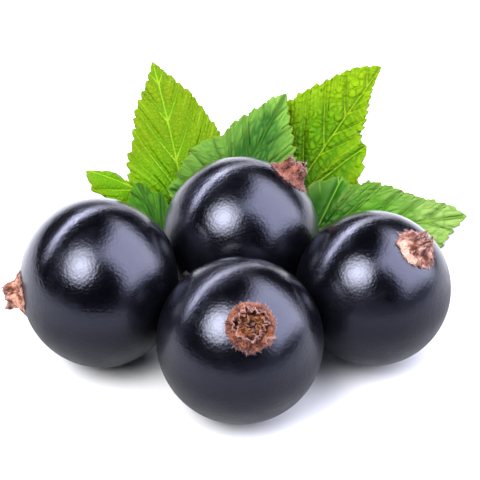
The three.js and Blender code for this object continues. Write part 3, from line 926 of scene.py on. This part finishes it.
# %% Sheets that crumple
FLOWERS = {
    "left": {"base": 1.7, "height": 1.15, "crown": 1.1, "hollow": 0.5, "turn": 0.3, "close": 0.3,
             "ring": 0.5, "dark": (112, 64, 48), "light": (212, 158, 136)},
    "back": {"base": 1.72, "height": 1.3, "crown": 1.1, "hollow": 0.45, "turn": 1.1, "close": 0.3,
             "ring": 0.55, "dark": (72, 35, 28), "light": (136, 82, 66)},
    "front": {"base": 1.88, "height": 0.95, "crown": 1.2, "hollow": 0.62, "turn": 0.6, "close": -0.05,
              "ring": 0.3, "dark": (60, 22, 16), "light": (130, 76, 50)},
    "right": {"base": 1.68, "height": 1.3, "crown": 0.95, "hollow": 0.4, "turn": 2.0, "close": 0.4,
              "ring": 0.6, "dark": (94, 52, 42), "light": (218, 170, 152)},
}
SEPALS = 5
SHEET = 0.05
CRUMPLE_START = 7
INNER_SHARE = 0.78
SHRED_COUNT = 9
RING_GRID, SEPAL_GRID, SHRED_GRID, STYLE_GRID = (16, 150), (16, 26), (14, 6), (8, 12)

# with a fixed start, the noise is the same in every run
noise.seed_set(CRUMPLE_START)


def crumple(point, seed, folds, amount):
    """Push a point about with two sizes of noise."""
    start = Vector((seed * 7.3, seed * 3.1, seed * 1.7))
    push = noise.noise_vector(point * folds + start) + 0.5 * noise.noise_vector(point * folds * 2.3 - start)
    return point + push * amount


def lump(*place):
    return noise.noise(Vector(place))


class Sheets:
    """Collects grids of corners: a point, how torn it is, and how deep it lies in the hollow."""

    def __init__(self):
        self.corners, self.faces = [], []

    def add(self, grid, shape, closed=False):
        rows, columns = grid
        start, spans = len(self.corners), columns if closed else columns - 1
        self.corners += [shape(i / (rows - 1), j / spans) for i in range(rows) for j in range(columns)]
        for i in range(rows - 1):
            for j in range(spans):
                a, b = start + i * columns + j, start + i * columns + (j + 1) % columns
                self.faces.append((a, b, b + columns, a + columns))


def round_point(rho, angle, height):
    return Vector((rho * math.cos(angle), rho * math.sin(angle), height))


def felt_ring(flower, seed):
    """The felted ring: a low swelling from inside the crown out to a frayed border on the skin."""
    def shape(along, around):
        angle = 2 * math.pi * around
        east, north = math.cos(angle), math.sin(angle)
        lobe = 0.06 * math.cos(SEPALS * (angle - flower["turn"]))
        inner = 0.3 * flower["crown"]
        outer = flower["base"] * (0.96 + 0.1 * lump(east * 5, north * 5, seed)) + lobe * 0.5
        rho = inner + (outer - inner) * along
        swell = flower["ring"] * (1 - along) ** 0.8 * min(1, 0.5 + 2.5 * along) * (1 + lobe)
        rough = 0.12 * lump(east * 9, north * 9, rho * 1.5 + seed)
        rough += 0.16 * lump(*round_point(rho, angle, seed * 3.0) * 2.4)
        rough += 0.17 * lump(*round_point(rho, angle, seed * 5.0) * 7.0)
        height = swell - 0.02 * along + rough * math.sin(math.pi * min(1, 0.1 + 0.88 * along))
        point = crumple(round_point(rho, angle, height), seed, 3.4, 0.07)
        return point, 0.25 * max(0.0, (along - 0.85) / 0.15), max(0.0, 1 - along * 3)

    return shape


def sepal(flower, number, seed, layer):
    """A withered sepal: a sheet that stands on the ring, leans in or out, and is torn along its top."""
    draw = random.Random(seed * 10 + number + 50 * layer)
    middle = flower["turn"] + 2 * math.pi * (number + 0.5 * layer) / SEPALS + draw.uniform(-0.15, 0.15)
    half_width = draw.uniform(0.6, 0.8)
    height = flower["height"] * draw.uniform(0.75, 1.05) * (1 - 0.12 * layer)
    lean = draw.uniform(-0.1, 0.3) - flower["close"]
    curl = draw.uniform(-0.4, 0.45)
    crown = flower["crown"] * INNER_SHARE**layer

    def shape(up, across):
        side = 2 * across - 1
        angle = middle + side * half_width * (1 - 0.45 * up**2)
        top = height * (1 - 0.3 * abs(side) ** 1.6 + 0.12 * lump(side * 4, number, seed))
        rho = crown * (0.96 - 0.1 * up + lean * up**1.5 + curl * up**3 * 0.5)
        rho += (0.12 * math.cos(side * math.pi * 1.5) + 0.07 * math.sin(side * 6 + number * 2)) * up
        point = round_point(rho, angle, 0.15 + top * up)
        point = crumple(point, seed + number + 7 * layer, 2.2, 0.19 * (0.3 + up))
        return point, max(0.0, (max(up, abs(side) * up**0.5) - 0.78) / 0.22), 0.3 * layer

    return shape


def shred(flower, number, seed):
    """A shrivelled strip of petal or stamen, curled in the hollow."""
    draw = random.Random(seed * 100 + number)
    start = 2 * math.pi * number / SHRED_COUNT + draw.uniform(-0.3, 0.3)
    rho = flower["hollow"] * draw.uniform(0.55, 1.15)
    reach = draw.uniform(0.5, 1.1)
    rise = flower["height"] * draw.uniform(0.45, 0.78)
    width = draw.uniform(0.16, 0.3)
    twist = draw.uniform(-1.2, 1.2)

    def shape(along, across):
        lift = 0.1 + rise * (0.35 + 0.65 * math.sin(2.2 * along))
        middle = round_point(rho * (1 - 0.45 * along), start + reach * along, lift)
        tilt = twist * along + start
        offset = round_point(1, tilt, 0.9).normalized() * width * (across - 0.5)
        point = crumple(middle + offset, seed + number * 3, 4.2, 0.09)
        return point, abs(2 * across - 1) ** 3 * 0.6, 0.75

    return shape


def style_stub(flower, seed):
    """The dry style in the middle of the hollow."""
    def shape(up, around):
        angle = 2 * math.pi * around
        rho = 0.11 * (1 - 0.5 * up) + 0.03 * math.cos(3 * angle)
        point = round_point(rho, angle, 0.05 + 0.62 * flower["height"] * up) + Vector((0.08 * up, 0.05, 0))
        return crumple(point, seed, 3.0, 0.05), 0.3 * up, 0.6

    return shape


print("a dried flower has", SEPALS, "sepals")

# %% [markdown]
# ## Felt, torn edges and glands
# The withered tissue is terracotta, golden brown in the hollow, and pinkish along its torn edges, and its
# fibres are painted dark as shade where their bump sinks. The marks for edge and depth were kept with the
# points, so the paint finds them.

# %% The dried flower finishes
def marked(tree, name):
    return result(tree, "ShaderNodeAttribute", output="Fac", attribute_name=name)


def dried_finish(place, flower):
    material, shader, where = new_finish(f"dried flower {place}")
    patches = grain(where, 0.8 * MM, 4.0, 0.6)
    streaks = grain(where, 0.13 * MM, 3.0, 0.65)
    colour = blend(ease(patches, 0.38, 0.62), tint(*flower["dark"]), tint(*flower["light"]))
    colour = blend(ease(streaks, 0.52, 0.72) * 0.5, colour, tint(158, 112, 98))
    # dark streaks where the bump sinks: painted shade in the fibre grooves
    colour = blend(ease(streaks, 0.52, 0.34) * 0.75, colour, tint(38, 12, 8))
    golden = blend(ease(streaks, 0.35, 0.6), tint(84, 40, 18), tint(158, 100, 54))
    colour = blend(marked(where.tree, "deep"), colour, golden)
    torn = marked(where.tree, "torn") * ease(patches, 0.25, 0.55) * 0.75
    colour = blend(torn, colour, tint(160, 128, 124))
    paint(shader, {"Base Color": colour, "Roughness": 0.86, "Specular IOR Level": 0.2})
    raise_grain(shader, streaks, 0.11 * MM)
    return material


def speckled_finish(name, roughness, size, dark, light):
    material, shader, where = new_finish(name)
    paint(shader, {"Base Color": blend(grain(where, size * MM), dark, light), "Roughness": roughness})
    return material


dried = {place: dried_finish(place, flower) for place, flower in FLOWERS.items()}
dry_hair = speckled_finish("dry hair", 0.7, 0.5, tint(128, 80, 78), tint(186, 156, 158))
resin_gland = speckled_finish("resin gland", 0.3, 0.3, tint(150, 92, 8), tint(184, 132, 24))
print(len(dried) + 2, "finishes for the dried flowers")

# %% [markdown]
# ## Hairs and glands by nodes
# Hundreds of hairs are little work for nodes: scatter points on the flower, put a thin cone on each, and
# turn it along the lie of the felt. The same tree serves glands, which are small balls of resin.

# %% The scatter tree
def new_scatter(name, make_shape):
    """Shapes on random points of a surface, more where it is hairy, turned along its lie."""
    tree, given = new_form(name, {
        "Density": 1e7, "Length": 0.3 * MM, "Thickness": 0.01 * MM, "Lie": 0.5, "Spread": 0.4, "Seed": 1,
    })
    seed = {"Seed": given["Seed"]}

    def chance(values, output=1, kind="FLOAT"):
        return result(tree, "FunctionNodeRandomValue", {**values, **seed}, output, data_type=kind)

    values = {0: given["Geometry"], "Density": given["Density"], **seed}
    points, normal = map(Value, add_node(tree, "GeometryNodeDistributePointsOnFaces", values).outputs[:2])
    jitter = chance({0: (-1, -1, -1), 1: (1, 1, 1)}, 0, "FLOAT_VECTOR")
    heading = normal + fact(tree, "lie", "FLOAT_VECTOR") * given["Lie"] + jitter * given["Spread"]
    turn = result(tree, "FunctionNodeAlignRotationToVector", {"Vector": heading}, axis="Z")
    here = maths("LESS_THAN", chance({}), fact(tree, "hairy"))
    shape, size = make_shape(tree, given), chance({2: 0.5, 3: 1.2})
    values = {0: points, 1: here, 2: shape, 5: turn, 6: size}
    end_form(given, result(tree, "GeometryNodeInstanceOnPoints", values))
    return tree


def hair_shape(tree, given):
    thick = given["Thickness"]
    sizes = {"Vertices": 3, "Radius Bottom": thick, "Radius Top": thick * 0.2, "Depth": given["Length"]}
    return result(tree, "GeometryNodeMeshCone", sizes)


def gland_shape(tree, given):
    return result(tree, "GeometryNodeMeshIcoSphere", {"Radius": given["Thickness"], "Subdivisions": 1})


hair_scatter = new_scatter("hair scatter", hair_shape)
gland_scatter = new_scatter("gland scatter", gland_shape)
print("the hair tree has", len(hair_scatter.nodes), "nodes")

# %% The four dried flowers
BORDER_START, BORDER_GAIN = 0.45, 1.8
INNER_HAIR = 0.25


def seat(berry, turn, point):
    """A point of the flower, set on the berry's round skin, as a place in the model's frame."""
    rho = min(math.hypot(point.x, point.y), 0.98 * berry["radius"])
    skin = berry["length"] * math.sqrt(berry["radius"] ** 2 - rho**2)
    return in_frame(turn @ Vector((point.x, point.y, skin + point.z)) + centre_of(berry))


def hairiness(flower, points):
    """The felted ring is the hairier the nearer its border, and the rest has few hairs."""
    ring = math.prod(RING_GRID)
    shares = [math.hypot(p.x, p.y) / flower["base"] - BORDER_START for p in points[:ring]]
    return [max(0.0, share * BORDER_GAIN) for share in shares] + [INNER_HAIR] * (len(points) - ring)


def make_flower(place, berry, flower, seed):
    sheets = Sheets()
    sheets.add(RING_GRID, felt_ring(flower, seed), closed=True)
    for layer in (0, 1):
        for number in range(SEPALS):
            sheets.add(SEPAL_GRID, sepal(flower, number, seed, layer))
    for number in range(SHRED_COUNT):
        sheets.add(SHRED_GRID, shred(flower, number, seed))
    sheets.add(STYLE_GRID, style_stub(flower, seed), closed=True)
    turn = Vector(berry["axis"]).to_track_quat("Z", "Y")
    points, torn, deep = zip(*sheets.corners)
    seated = [seat(berry, turn, p) for p in points]
    piece = new_piece(f"withered_flower_{place}", seated, sheets.faces)
    lies = np.array([turn @ Vector((p.x, p.y, 0)).normalized() for p in points])
    mark(piece.data, torn=torn, deep=deep, hairy=hairiness(flower, points), lie=lies)
    for polygon in piece.data.polygons:
        polygon.use_smooth = True
    piece.data.materials.append(dried[place])
    return piece


def scatter_on(carrier, name, tree, settings):
    """A new piece of scattered shapes on a copy of another piece's mesh."""
    piece = put(name, carrier.data.copy())
    run_form(piece, tree, settings)
    return piece


for seed, (place, flower) in enumerate(FLOWERS.items(), 1):
    piece = make_flower(place, BERRIES[place], flower, seed)
    hairs = scatter_on(piece, f"flower_hairs_{place}", hair_scatter, {
        "Density": 2.2e8, "Length": 0.3 * MM, "Thickness": 0.014 * MM, "Lie": 1.6, "Spread": 1.0,
        "Seed": seed, "Finish": dry_hair,
    })
    glands = scatter_on(piece, f"flower_glands_{place}", gland_scatter, {
        "Density": 6e6, "Thickness": 0.035 * MM, "Seed": seed + 20, "Finish": resin_gland,
    })
    thicken(piece, SHEET)
    for made in (piece, hairs, glands):
        hand_over(made, f"dried_flower_{place}")

# %% [markdown]
# ## The stem
# The stem is one grown piece: the cut twig, the strig that carries the berries, and a stalk to each
# berry and leaf. Each follows its route as a curve with a radius at each point, and nodes sweep a circle
# along all of them. A voxel remesh melts them into one skin with soft forks, and bark goes on last.

# %% The routes, in millimetres with the radius
STALKS = {
    "twig": [(-0.5, 17.7, 1.0, 0.7), (-0.2, 19.4, 1.0, 0.86), (0.3, 22.2, 1.0, 0.8),
             (0.9, 25.4, 1.05, 0.84), (1.4, 28.5, 1.1, 0.92)],
    "strig": [(-0.6, 18.0, 1.0, 0.6), (-2.4, 16.8, 0.85, 0.5), (-4.6, 14.6, 0.8, 0.46),
              (-5.2, 11.8, 0.85, 0.44), (-4.7, 8.9, 0.9, 0.42), (-2.6, 6.4, 0.85, 0.4),
              (0.2, 6.0, 0.85, 0.36), (3.2, 6.2, 0.9, 0.32)],
    "berry_front": [(-1.4, 6.1, 0.8, 0.3), (-0.95, 4.9, 0.68, 0.28), (-0.82, 3.68, 1.06, 0.3)],
    "berry_right": [(2.8, 6.2, 0.9, 0.3), (4.9, 6.7, 0.6, 0.28), (6.4, 6.9, 0.52, 0.26),
                    (6.88, 6.93, 0.68, 0.26)],
    "berry_back": [(-5.0, 10.9, 0.85, 0.3), (-4.5, 10.3, 1.05, 0.28), (-3.88, 9.88, 1.52, 0.3)],
    "berry_left": [(-4.6, 8.6, 0.9, 0.32), (-3.8, 7.2, 2.2, 0.3), (-3.5, 6.5, 4.4, 0.28),
                   (-3.75, 6.75, 5.9, 0.28), (-4.3, 6.9, 6.4, 0.3)],
    "leaf_upper_left": [(-0.6, 18.4, 1.0, 0.45), (-2.4, 18.3, 0.95, 0.4), (-3.7, 18.7, 0.95, 0.36),
                        (-4.3, 19.7, 1.4, 0.3)],
    "leaf_small": [(-3.0, 16.2, 0.85, 0.34), (-4.6, 15.6, 1.0, 0.32), (-5.9, 15.3, 1.2, 0.3),
                   (-6.1, 15.6, 1.45, 0.24)],
    "leaf_centre": [(-0.4, 18.3, 1.1, 0.45), (-1.1, 17.6, 1.7, 0.4), (-1.35, 18.2, 2.4, 0.36),
                    (-1.0, 18.9, 2.8, 0.3)],
    "leaf_upper_right": [(-0.2, 18.6, 1.0, 0.45), (1.4, 18.6, 0.95, 0.4), (2.6, 19.3, 1.0, 0.36),
                         (3.4, 20.3, 1.35, 0.3)],
    "leaf_lower_right": [(-0.3, 18.0, 1.0, 0.45), (1.6, 17.0, 0.85, 0.4), (3.4, 15.5, 1.1, 0.36),
                         (5.2, 15.05, 2.2, 0.3)],
}
STEPS_PER_POINT = 8


def stalk_curves():
    """One curve object that holds every stalk as a line of points with a radius."""
    curve = bpy.data.curves.new("stalk_lines", "CURVE")
    curve.dimensions = "3D"
    for route in STALKS.values():
        points, _ = smooth_route(route, STEPS_PER_POINT * (len(route) - 1) + 1)
        line = curve.splines.new("POLY")
        line.points.add(len(points) - 1)
        for spot, (x, y, z, radius) in zip(line.points, points):
            spot.co = (*in_frame((x, y, z)), 1)
            spot.radius = radius
    return curve


def tube_tree():
    tree, given = new_form("stalk tubes", {"Thickness": MM})
    values = {"Resolution": 20, "Radius": given["Thickness"]}
    circle = result(tree, "GeometryNodeCurvePrimitiveCircle", values)
    values = {0: given["Geometry"], 1: circle, 2: result(tree, "GeometryNodeInputRadius"), 3: True}
    end_form(given, result(tree, "GeometryNodeCurveToMesh", values))
    return tree


def bark_tree():
    tree, given = new_form("bark ridges", {"Ridge": 0.05 * MM})
    place = result(tree, "GeometryNodeInputPosition")
    ridges = grain(place * (1.0, 0.3, 1.0), 0.35 * MM, 3.0) - 0.5
    knobs = grain(place, 1.3 * MM, 1.0) - 0.5
    end_raised(given, (knobs * 1.4 + ridges) * given["Ridge"])
    return tree


print("there are", len(STALKS), "routes")

# %% [markdown]
# ## Bark
# The twig has grey-brown bark with pale pores, and pale wood round a darker pith at its cut end. The
# stalks are young and green; near the fruit, where they lie between the berries, they are painted dark as
# shade. One finish covers them by how far back they lie.

# %% The stem finish and the stem
SHADED_FRUIT_END, GREEN_START = 9.0, 14.0
FORK, CUT = 19.0, 28.35
PITH, WOOD = 0.2 * MM, 0.74 * MM


def stem_finish():
    material, shader, where = new_finish("stem bark")
    north = parts_of(where)[1]
    places = [in_frame((0, y, 0)).y for y in (SHADED_FRUIT_END, GREEN_START, FORK, CUT)]
    shaded_fruit_end, green_start, fork, cut = places
    fibre = grain(where * (1.0, 0.25, 1.0), 0.22 * MM, 4.0, 0.6)
    dense = ease(fibre, 0.3, 0.7)
    bark = blend(dense, tint(84, 62, 44), tint(140, 118, 88))
    bark = blend(ease(cells(where, 1.1 * MM, "F1"), 0.2, 0.12) * 0.7, bark, tint(176, 158, 124))
    green = blend(dense, tint(86, 96, 34), tint(126, 132, 58))
    # near the fruit, where the stalks lie between the berries, they are painted almost black as shade
    green = blend(ease(north, green_start, shaded_fruit_end), green, tint(20, 14, 10))
    colour = blend(ease(north, fork - 0.8 * MM, fork + 1.2 * MM), green, bark)
    off_axis = maths("LENGTH", where - tuple(in_frame(STALKS["twig"][-1][:3])))
    wood = blend(ease(off_axis, PITH + 0.08 * MM, PITH), tint(196, 176, 128), tint(132, 104, 70))
    at_cut = ease(north, cut, cut + 0.1 * MM) * ease(off_axis, WOOD + 0.08 * MM, WOOD)
    paint(shader, {"Base Color": blend(at_cut, colour, wood), "Roughness": 0.72})
    raise_grain(shader, fibre, 0.04 * MM)
    return material


lines = put("stalk_lines", stalk_curves())
lines.modifiers.new("form", "NODES").node_group = tube_tree()
scene_now = bpy.context.evaluated_depsgraph_get()
tubes = bpy.data.meshes.new_from_object(lines.evaluated_get(scene_now))
bpy.data.objects.remove(lines)
stem = put("stem_skin", tubes)
melt = stem.modifiers.new("melt", "REMESH")
melt.mode, melt.voxel_size = "VOXEL", 0.085 * MM
soften = stem.modifiers.new("soften", "SMOOTH")
soften.factor, soften.iterations = 0.5, 6
keep_as_mesh(stem)
run_form(stem, bark_tree(), {"Ridge": 0.07 * MM, "Finish": stem_finish()})
hand_over(stem, "stem")
print("the stem is", [round(s / MM, 1) for s in stem.dimensions], "mm")
